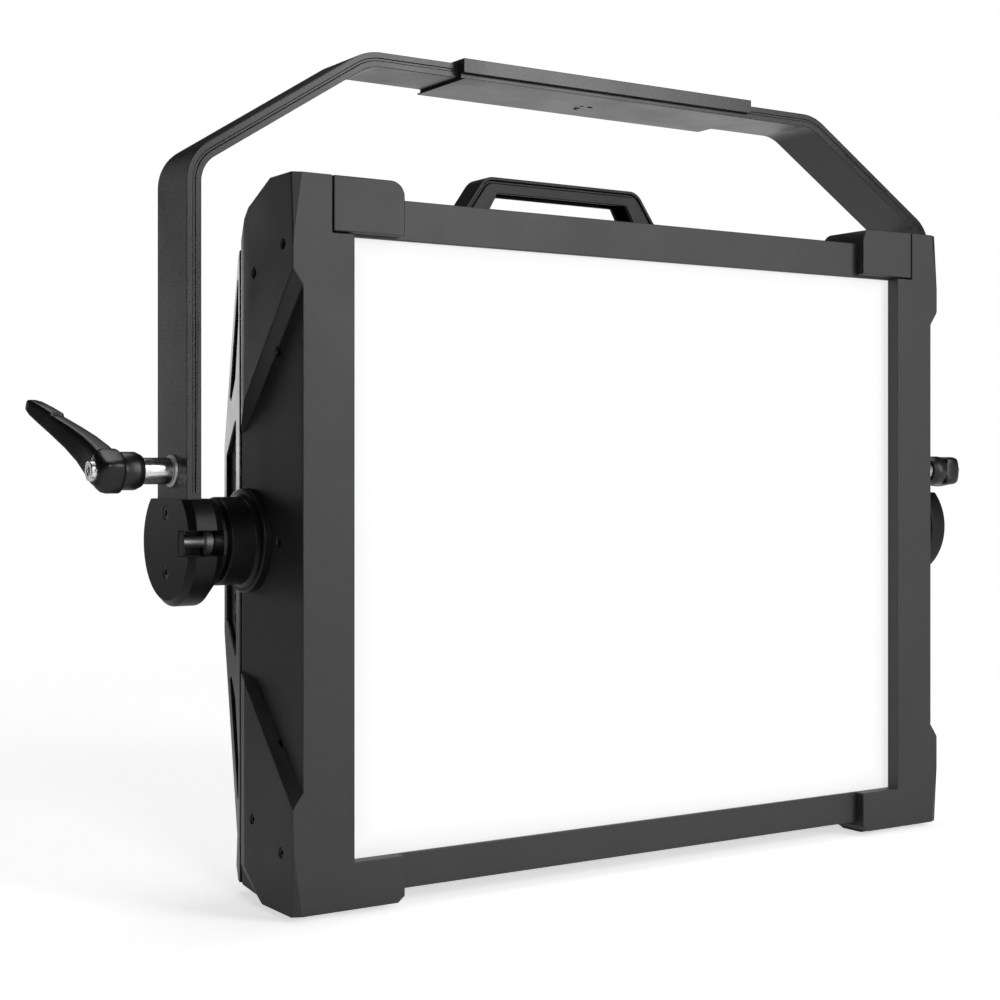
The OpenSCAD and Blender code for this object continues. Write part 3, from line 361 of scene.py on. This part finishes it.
def link(name, mesh_data, node):
    """Makes a piece from mesh data, with the CAD node's body and material slot."""
    piece = bpy.data.objects.new(name, mesh_data)
    bpy.context.scene.collection.objects.link(piece)
    slot = SLOT_OF[node]
    mesh_data.materials.clear()
    mesh_data.materials.append(MATERIALS[slot])
    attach(piece, BODY_OF[node])
    return piece


def soften(mesh_data, angle=SHARP_DEG):
    """Smooth shading that keeps edges sharper than the angle."""
    mesh_data.polygons.foreach_set("use_smooth", [True] * len(mesh_data.polygons))
    mesh_data.set_sharp_from_angle(angle=math.radians(angle))


def welded(node):
    """The CAD node's mesh with its split vertices joined and its flat triangles merged."""
    built = bmesh.new()
    built.from_mesh(frame["nodes"][node].data)
    bmesh.ops.remove_doubles(built, verts=built.verts, dist=WELD)
    bmesh.ops.dissolve_degenerate(built, dist=WELD, edges=built.edges)
    bmesh.ops.dissolve_limit(built, angle_limit=math.radians(FLAT_DEG), verts=built.verts, edges=built.edges)
    return built


def bevelled(node, width):
    """A piece with the CAD node's shape and rounded edges, width metres across."""
    built = welded(node)
    mesh_data = bpy.data.meshes.new(node + "_finish")
    built.to_mesh(mesh_data)
    built.free()
    soften(mesh_data, CREASE_DEG.get(node, SHARP_DEG))
    piece = link(mesh_data.name, mesh_data, node)
    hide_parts(node)
    edge = piece.modifiers.new("edges", "BEVEL")
    edge.width = width
    edge.segments = ROUNDED_STEPS
    edge.limit_method = "ANGLE"
    edge.angle_limit = math.radians(ROUNDED_DEG)
    edge.use_clamp_overlap = False
    edge.miter_outer = "MITER_ARC"
    flat = piece.modifiers.new("flat_faces", "WEIGHTED_NORMAL")
    flat.keep_sharp = True
    return piece


def skin(built, rings):
    """Joins rings of points into a closed skin with flat ends."""
    loops = [[built.verts.new(point) for point in ring] for ring in rings]
    for one, two in zip(loops, loops[1:]):
        for i in range(len(one)):
            j = (i + 1) % len(one)
            built.faces.new((one[i], one[j], two[j], two[i]))
    built.faces.new(list(reversed(loops[0])))
    built.faces.new(loops[-1])


def turned(built, base, along, profile, count=64, ripple=0.0, waves=24):
    """A turned solid: profile lists how far along the axis and the radius there."""
    along = Vector(along)
    side = Vector((0, 0, 1))
    other = along.cross(side)
    rings = []
    for reach, radius in profile:
        ring = []
        for i in range(count):
            turn = 2 * math.pi * i / count
            wide = radius * (1 + ripple * math.cos(waves * turn))
            out = side * math.cos(turn) + other * math.sin(turn)
            ring.append(Vector(base) + along * reach + out * wide)
        rings.append(ring)
    skin(built, rings)


def rounded_ring(middle, wide, high, half_wide, half_high, power, count=32):
    """Points of a rounded rectangle; a power of 2 is an ellipse, and more is squarer."""
    ring = []
    for i in range(count):
        turn = 2 * math.pi * (i + 0.5) / count
        c, s = math.cos(turn), math.sin(turn)
        x = math.copysign(abs(c) ** (2 / power), c) * half_wide
        y = math.copysign(abs(s) ** (2 / power), s) * half_high
        ring.append(middle + wide * x + high * y)
    return ring


def wire_ring(built, middle, radius, wire):
    """A ring of round wire that faces along Y."""
    count = 72
    sides = 10
    loops = []
    for i in range(count):
        turn = 2 * math.pi * i / count
        out = Vector((math.cos(turn), 0, math.sin(turn)))
        loop = []
        for j in range(sides):
            lean = 2 * math.pi * j / sides
            place = middle + out * (radius + wire * math.cos(lean)) + Vector((0, wire * math.sin(lean), 0))
            loop.append(built.verts.new(place))
        loops.append(loop)
    for i in range(count):
        one, two = loops[i], loops[(i + 1) % count]
        for j in range(sides):
            k = (j + 1) % sides
            built.faces.new((one[j], one[k], two[k], two[j]))


def finish(built, name, node, angle=SHARP_DEG, replace=True):
    """Turns the built mesh into a piece that stands for the node, or is added to it."""
    bmesh.ops.recalc_face_normals(built, faces=built.faces)
    mesh_data = bpy.data.meshes.new(name)
    built.to_mesh(mesh_data)
    built.free()
    soften(mesh_data, angle)
    piece = link(name, mesh_data, node)
    if replace:
        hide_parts(node)


# ---------- Clamp levers ----------

# Grip: reach, place outwards, half thickness, half height and rise of the middle, in millimetres
GRIP = [
    (-2, 377.0, 8.0, 11.5, -0.6), (6, 377.6, 8.0, 12.2, -1.4), (16, 378.6, 7.4, 11.5, -1.4),
    (30, 381.0, 6.4, 10.0, -1.1), (45, 385.4, 5.6, 8.4, -0.9), (62, 391.8, 5.1, 6.6, -0.7),
    (63.2, 392.3, 5.3, 7.4, 0.3), (72, 396.0, 5.0, 6.6, 0.6), (81, 399.8, 4.5, 5.5, 0.7),
    (85.5, 401.6, 3.7, 4.1, 0.7), (87.2, 402.3, 2.5, 2.6, 0.6), (87.8, 402.5, 1.2, 1.1, 0.6),
]
# Round collar: place outwards and radius, in millimetres
COLLAR = [
    (364, 8.75), (355.7, 8.75), (355.5, 9.0), (355.5, 9.9), (355.8, 10.4), (359.4, 12.1),
    (360.0, 12.3), (368.5, 12.3), (369.4, 12.0), (369.8, 11.4), (372, 11.2),
]
# Squarer block beyond the collar: place outwards, half size and squareness
BLOCK = [
    (369.2, 11.4, 2.4), (370.2, 11.7, 4), (371.5, 11.8, 5.5), (380.0, 11.8, 5.5), (383.0, 11.2, 5),
    (385.0, 9.9, 4), (386.0, 8.5, 3), (386.5, 7.3, 2.2), (386.5, 6.8, 2.0), (383.6, 6.7, 2.0),
]


def grip_angle(node, axis):
    """The angle above the horizontal at which a lever's grip points, from its farthest corners."""
    places = [v.co for v in frame["nodes"][node].data.vertices]
    reach = [math.hypot(p.y - axis.y, p.z - axis.z) for p in places]
    far = [p for p, r in zip(places, reach) if r > max(reach) - 0.3 * MM]
    rise = sum(p.z - axis.z for p in far)
    return math.atan2(rise, sum(p.y - axis.y for p in far))


def make_lever(side, sign):
    """A moulded lever: a flattened grip, a round collar and a squarer block round the screw."""
    node = side + "_clamp_lever"
    joint = next(j for j in RECORD["behaviour"]["joints"] if j["name"] == side + "_clamp_turn")
    axis = Vector((0, joint["pos_m"][1], joint["pos_m"][2]))
    turn = grip_angle(node, axis)
    out = Vector((sign, 0, 0))
    along = Vector((0, math.cos(turn), math.sin(turn)))
    rise = Vector((0, -math.sin(turn), math.cos(turn)))
    built = bmesh.new()
    rings = []
    for reach, place, thick, high, lift in GRIP:
        middle = axis + (out * place + along * reach + rise * lift) * MM
        rings.append(rounded_ring(middle, out, rise, thick * MM, high * MM, 5))
    skin(built, rings)
    turned(built, axis, out, [(place * MM, radius * MM) for place, radius in COLLAR])
    blocks = []
    for place, half, power in BLOCK:
        blocks.append(rounded_ring(axis + out * place * MM, along, rise, half * MM, half * MM, power, 64))
    skin(built, blocks)
    finish(built, side + "_lever_body", node, 32)


# ---------- Fans ----------

# Blade: radius at the root, span, camber and thickness, in millimetres
BLADE_ROOT = 17
BLADE_SPAN = 23.5
BLADE_CAMBER = 2.4
BLADE_THICK = 1.2
# Chord in millimetres and pitch in degrees: at the root, and how much each changes to the tip
BLADE_CHORD = (14, 7)
BLADE_PITCH = (50, -20)
BLADE_SWEEP = 0.22
BLADE_COUNT = 7
# Guard: radii of its rings, wire radius and place of its screws, in millimetres
GUARD_RINGS = (12, 21, 30, 39)
GUARD_WIRE = 1.05
GUARD_SCREW = 41.25
# Guard's spoke and screw pad: distance along and radius, in millimetres
SPOKE = ((0, 0.5), (0.4, 0.95), (42, 0.95), (43, 0.95))
PAD = ((0, 4.6), (0.3, 5), (1.9, 5), (2.4, 4.5), (2.4, 3.7), (2.2, 1.6))


def fan_axis(side):
    """A point on the fan's axis."""
    joint = next(j for j in RECORD["behaviour"]["joints"] if j["name"] == side + "_fan_spin")
    return Vector(joint["pos_m"])


def blade_grid(start, y_middle, thick):
    """One face of a fan blade: twisted, cambered and swept forward."""
    rows = []
    for k in range(7):
        r = (BLADE_ROOT + BLADE_SPAN * k / 6) * MM
        pitch = math.radians(BLADE_PITCH[0] + BLADE_PITCH[1] * k / 6)
        chord = (BLADE_CHORD[0] + BLADE_CHORD[1] * k / 6) * MM
        row = []
        for j in range(8):
            s = j / 7 - 0.5
            camber = BLADE_CAMBER * MM * (1 - 4 * s * s)
            deep = s * chord * math.sin(pitch) + camber * math.cos(pitch) + thick
            sweep = (r - BLADE_ROOT * MM) * BLADE_SWEEP
            slide = s * chord * math.cos(pitch) - camber * math.sin(pitch) + sweep
            turn = start + slide / r
            row.append(Vector((r * math.cos(turn), y_middle + deep, r * math.sin(turn))))
        rows.append(row)
    return rows


def make_blade(built, base, start, y_middle):
    """A closed blade between its two faces."""
    front = blade_grid(start, y_middle, -BLADE_THICK / 2 * MM)
    back = blade_grid(start, y_middle, BLADE_THICK / 2 * MM)
    rings = []
    for one, two in zip(front, back):
        rings.append([base + p for p in one] + [base + p for p in reversed(two)])
    skin(built, rings)


def make_rotor(side):
    """A hub with a rounded cap, its shaft and its blades."""
    node = side + "_fan_rotor"
    low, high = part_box(node)
    axis = fan_axis(side)
    base = Vector((axis.x, 0, axis.z))
    built = bmesh.new()
    front, rear = low.y + 3.5 * MM, high.y
    profile = [(low.y, 2.0), (front, 2.0), (front, 17.0), (front + 0.8 * MM, 17.8), (rear - 2.5 * MM, 18.0),
               (rear - 0.8 * MM, 17.4), (rear, 15.8), (rear, 13.0), (rear - 0.4 * MM, 12.7),
               (rear - 0.4 * MM, 0.1)]
    turned(built, base, (0, 1, 0), [(y, r * MM) for y, r in profile])
    for i in range(BLADE_COUNT):
        make_blade(built, base, 2 * math.pi * i / BLADE_COUNT, (front + rear) / 2)
    finish(built, side + "_rotor_body", node)


def make_guards():
    """Rings and spokes of round wire with a pressed pad at each screw."""
    low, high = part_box("fan_guards")
    y_wire = high.y - 1.2 * MM
    screw_at = GUARD_SCREW * MM
    built = bmesh.new()
    for side in ("left", "right"):
        axis = fan_axis(side)
        middle = Vector((axis.x, y_wire, axis.z))
        for radius in GUARD_RINGS:
            wire_ring(built, middle, radius * MM, GUARD_WIRE * MM)
        for quarter in range(4):
            turn = math.pi / 4 + quarter * math.pi / 2
            out = Vector((math.cos(turn), 0, math.sin(turn)))
            start = middle + out * 11 * MM + Vector((0, -0.5 * MM, 0))
            spoke(built, start, out)
            pad = Vector((axis.x, low.y, axis.z))
            pad += Vector((math.copysign(screw_at, out.x), 0, math.copysign(screw_at, out.z)))
            turned(built, pad, (0, 1, 0), [(reach * MM, radius * MM) for reach, radius in PAD], 40)
    finish(built, "fan_guards_wire", "fan_guards")


def spoke(built, start, out):
    """A round wire from a start along a direction in the X and Z plane."""
    deep = Vector((0, 1, 0))
    other = out.cross(deep)
    rings = []
    for reach, radius in SPOKE:
        middle = start + out * reach * MM
        rings.append(rounded_ring(middle, deep, other, radius * MM, radius * MM, 2, 12))
    skin(built, rings)


# ---------- Rear controls ----------

def make_button(node):
    """A round key with a skirt, a rounded rim and a dished top."""
    low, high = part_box(node)
    middle = (low + high) / 2
    top = high.y - low.y
    skirt = (high.x - low.x) / 2
    profile = [(0, skirt), (1 * MM, skirt), (1 * MM, 5 * MM), (top - 0.9 * MM, 5 * MM),
               (top - 0.45 * MM, 4.9 * MM), (top - 0.12 * MM, 4.6 * MM), (top, 4.15 * MM),
               (top - 0.05 * MM, 3.7 * MM), (top - 0.35 * MM, 2.6 * MM), (top - 0.55 * MM, 1.2 * MM),
               (top - 0.6 * MM, 0.1 * MM)]
    built = bmesh.new()
    turned(built, (middle.x, low.y, middle.z), (0, 1, 0), profile, 48)
    finish(built, node + "_cap", node, 50)


def make_knob():
    """A knurled knob with a chamfered rim, a sunk face and a rib for a pointer."""
    low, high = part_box("encoder_knob")
    middle = (low + high) / 2
    base = Vector((middle.x, low.y, middle.z))
    top = high.y - low.y
    skirt = top - 9 * MM
    built = bmesh.new()
    turned(built, base, (0, 1, 0), [(0, 3 * MM), (skirt + 1 * MM, 3 * MM)], 32)
    foot = [(skirt, 9.2 * MM), (skirt + 0.5 * MM, 9.9 * MM), (skirt + 1.6 * MM, 9.9 * MM)]
    turned(built, base, (0, 1, 0), foot, 64)
    knurl = [(skirt + 1.2 * MM, 9.3 * MM), (skirt + 1.7 * MM, 9.6 * MM),
             (top - 1 * MM, 9.5 * MM), (top - 0.4 * MM, 9.2 * MM)]
    turned(built, base, (0, 1, 0), knurl, 240, ripple=0.028, waves=30)
    cap = [(top - 1 * MM, 8.9 * MM), (top - 0.2 * MM, 8.8 * MM), (top, 8.5 * MM), (top, 7.6 * MM),
           (top - 0.7 * MM, 7.2 * MM), (top - 0.8 * MM, 0.1 * MM)]
    turned(built, base, (0, 1, 0), cap, 64)
    rib = [Vector((middle.x, low.y + top + y, middle.z + 4.6 * MM)) for y in (-1 * MM, -0.25 * MM)]
    half = ((0.55, 2.9), (0.4, 2.75))
    skin(built, [rounded_ring(place, Vector((1, 0, 0)), Vector((0, 0, 1)), w * MM, h * MM, 6)
                 for place, (w, h) in zip(rib, half)])
    finish(built, "encoder_knob_body", "encoder_knob", 40)


# Network port's contact: depth and drop of its points, and the step between contacts, in millimetres
CONTACT = ((3.0, 3.4), (7.0, 3.6), (11.5, 6.2), (12.2, 6.3))
CONTACT_STEP = 1.02


def make_contacts():
    """Eight spring contacts inside the network port."""
    low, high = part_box("network_port")
    middle = (low + high) / 2
    across = Vector((1, 0, 0))
    up = Vector((0, 0, 1))
    built = bmesh.new()
    for i in range(8):
        x = middle.x + (i - 3.5) * CONTACT_STEP * MM
        rings = []
        for deep, drop in CONTACT:
            place = Vector((x, high.y - deep * MM, high.z - drop * MM))
            rings.append(rounded_ring(place, across, up, 0.22 * MM, 0.16 * MM, 3, 12))
        skin(built, rings)
    finish(built, "network_contacts", "network_port", replace=False)


# ---------- Finish of the carried nodes ----------

def dress_nodes():
    """Gives every CAD node its slot's material, for the ones that stay visible."""
    for node, shown in frame["nodes"].items():
        shown.data.materials.clear()
        shown.data.materials.append(MATERIALS[SLOT_OF[node]])


# Edge radius of each node that keeps its CAD shape, in millimetres
EDGE_MM = {
    "left_cheek": 0.7, "right_cheek": 0.7, "top_bar": 0.6, "bottom_bar": 0.6,
    "left_corner_cap": 0.8, "right_corner_cap": 0.8, "front_feet": 0.5, "rear_feet": 0.5,
    "cheek_screws": 0.15, "rear_cover": 0.6, "rear_spine": 0.9, "control_panel": 0.35,
    "connector_plate": 0.35, "cover_screws": 0.25, "top_handle": 0.6, "handle_screws": 0.25,
    "safety_eye": 0.5, "left_pivot_flange": 0.3, "right_pivot_flange": 0.3, "pivot_bolts": 0.5,
    "friction_washers": 0.3, "left_knuckle": 0.5, "right_knuckle": 0.5, "yoke_bar": 0.35,
    "arm_screws": 0.3, "mount_plate": 0.4, "mount_screws": 0.25, "clamp_washers": 0.4,
    "left_clamp_insert": 0.5, "right_clamp_insert": 0.5, "left_clamp_screw": 0.6,
    "right_clamp_screw": 0.6, "power_inlet": 0.4, "power_outlet": 0.4, "data_sockets": 0.4,
    "network_port": 0.4, "fuse_cap": 0.4,
}
# Nodes whose shallow folds stay crisp, and the angle in degrees from which they do
CREASE_DEG = {"rear_cover": 6, "rear_spine": 6}


def make_bevelled():
    """Rounds the edges of every node that keeps its CAD shape."""
    for node, edge in EDGE_MM.items():
        bevelled(node, edge * MM)


# ---------- Stage ----------

# Floor: half its width, and the distances over which the near part runs into the far part, in metres
FLOOR_HALF = 14
FLOOR_BLEND = (0.6, 1.5)
# Glow of the near floor, in reflections and to the camera
FLOOR_GLOW = (0.2, 0.62)
# Glow of the far floor in reflections, at the left and at the right, and the X places of the two
FAR_GLOW = (0.12, 0.8)
FAR_RIGHT = (-0.3, 1.1)
# World: level of the dim room and of the backdrop, and the share of +Y where it starts and is full
ROOM_LEVEL = 0.03
BACKDROP_LEVEL = 2.0
BACKDROP = (0.92, 0.985)
# Softboxes: name, place, width, height and power
LIGHTS = [
    ("right_softbox", (1.3, -2.2, 1.2), 1.0, 2.3, 42),
    ("front_softbox", (-0.6, -2.6, 0.9), 0.6, 1.4, 20),
    ("top_softbox", (0.2, 0.5, 2.4), 1.6, 1.6, 20),
]


def make_floor():
    """A pale floor that runs into the white background."""
    data = bpy.data.meshes.new("floor")
    built = bmesh.new()
    bmesh.ops.create_grid(built, x_segments=8, y_segments=8, size=FLOOR_HALF)
    built.to_mesh(data)
    built.free()
    floor = bpy.data.objects.new("floor", data)
    bpy.context.scene.collection.objects.link(floor)
    material, tree, shader = blank("floor_white")
    where = object_place(tree)
    length = add(tree, "ShaderNodeVectorMath", {0: where}, operation="LENGTH").outputs["Value"]
    paper = noise(tree, where, 4 * MM, 3)
    seen = add(tree, "ShaderNodeLightPath").outputs["Is Camera Ray"]
    near_glow = spread(tree, seen, 0, 1, *FLOOR_GLOW)
    feed(tree, shader, Base_Color=mix_colour(tree, paper, grey(0.86), grey(0.9)), Roughness=0.75,
         Emission_Color=grey(1), Emission_Strength=near_glow)
    parts = add(tree, "ShaderNodeSeparateXYZ", {"Vector": where})
    lit = spread(tree, parts.outputs["X"], *FAR_RIGHT, *FAR_GLOW)
    lit = spread(tree, seen, 0, 1, lit, 1.0)
    glow = add(tree, "ShaderNodeEmission", {"Color": grey(1), "Strength": lit})
    far = spread(tree, length, *FLOOR_BLEND)
    feeds = {"Fac": far, 1: shader.outputs["BSDF"], 2: glow.outputs["Emission"]}
    both = add(tree, "ShaderNodeMixShader", feeds)
    tree.links.new(both.outputs["Shader"], tree.nodes["Material Output"].inputs["Surface"])
    data.materials.append(material)


def make_world():
    """A white backdrop behind the object, and a dim room elsewhere."""
    world = bpy.data.worlds.new("studio")
    world.use_nodes = True
    bpy.context.scene.world = world
    tree = world.node_tree
    tree.nodes.clear()
    way = add(tree, "ShaderNodeTexCoord").outputs["Generated"]
    parts = add(tree, "ShaderNodeSeparateXYZ", {"Vector": way})
    level = spread(tree, parts.outputs["Y"], *BACKDROP, ROOM_LEVEL, BACKDROP_LEVEL)
    seen = add(tree, "ShaderNodeLightPath").outputs["Is Camera Ray"]
    level = spread(tree, seen, 0, 1, level, 1.0)
    back = add(tree, "ShaderNodeBackground", {"Color": grey(1), "Strength": level})
    out = add(tree, "ShaderNodeOutputWorld")
    tree.links.new(back.outputs["Background"], out.inputs["Surface"])


def soft_light(name, place, aim, wide, high, power):
    """A softbox at a place, turned to its aim."""
    data = bpy.data.lights.new(name, "AREA")
    data.shape = "RECTANGLE"
    data.size = wide
    data.size_y = high
    data.energy = power
    light = bpy.data.objects.new(name, data)
    light.location = place
    light.rotation_euler = (Vector(aim) - Vector(place)).to_track_quat("-Z", "Y").to_euler()
    bpy.context.scene.collection.objects.link(light)


def make_lights():
    """The softboxes, all turned to the middle of the object."""
    middle = (cad_box[0] + cad_box[1]) / 2
    for name, place, wide, high, power in LIGHTS:
        soft_light(name, place, middle, wide, high, power)


def match_display():
    """Shows the colours as they are, so that white stays white."""
    bpy.context.scene.view_settings.view_transform = "Standard"


make_camera()
MATERIALS = make_materials()
dress_nodes()
make_bevelled()
make_lever("left", -1)
make_lever("right", 1)
make_rotor("left")
make_rotor("right")
make_guards()
for key_node in ("menu_button", "up_button", "down_button", "enter_button"):
    make_button(key_node)
make_knob()
make_contacts()
make_floor()
make_world()
make_lights()
match_display()
